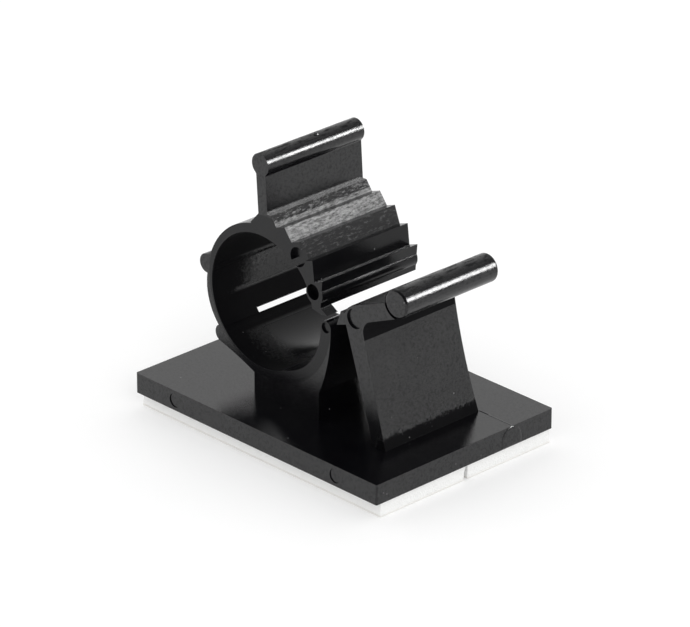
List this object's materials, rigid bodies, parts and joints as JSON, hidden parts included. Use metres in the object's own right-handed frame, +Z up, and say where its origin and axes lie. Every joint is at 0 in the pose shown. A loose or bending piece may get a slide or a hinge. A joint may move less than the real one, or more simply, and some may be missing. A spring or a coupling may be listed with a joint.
{
  "type": "adhesive cable clip",
  "caption": "Releasable plastic cable clip on a rectangular self-adhesive base: a hinged ring with ratchet teeth, an upright thumb tab and a leaning latch with a round release bar.",
  "frame": {"origin": "middle of the underside of the release papers, the face that rests on the surface", "axes": "+X along the base from the hinge side to the latch side, +Y along the cable, from the face with the ejector marks to the flat rear face, +Z up"},
  "size_m": [0.0286, 0.02, 0.0246],
  "materials": {
    "nylon": "fine satin grain",
    "foam": "soft closed-cell foam",
    "paper": "smooth coated paper"
  },
  "bodies": {
    "root": {"clip_body": "nylon", "foam_strip_front": "foam", "foam_strip_rear": "foam", "liner_front": "paper", "liner_rear": "paper"}
  },
  "joints": []
}
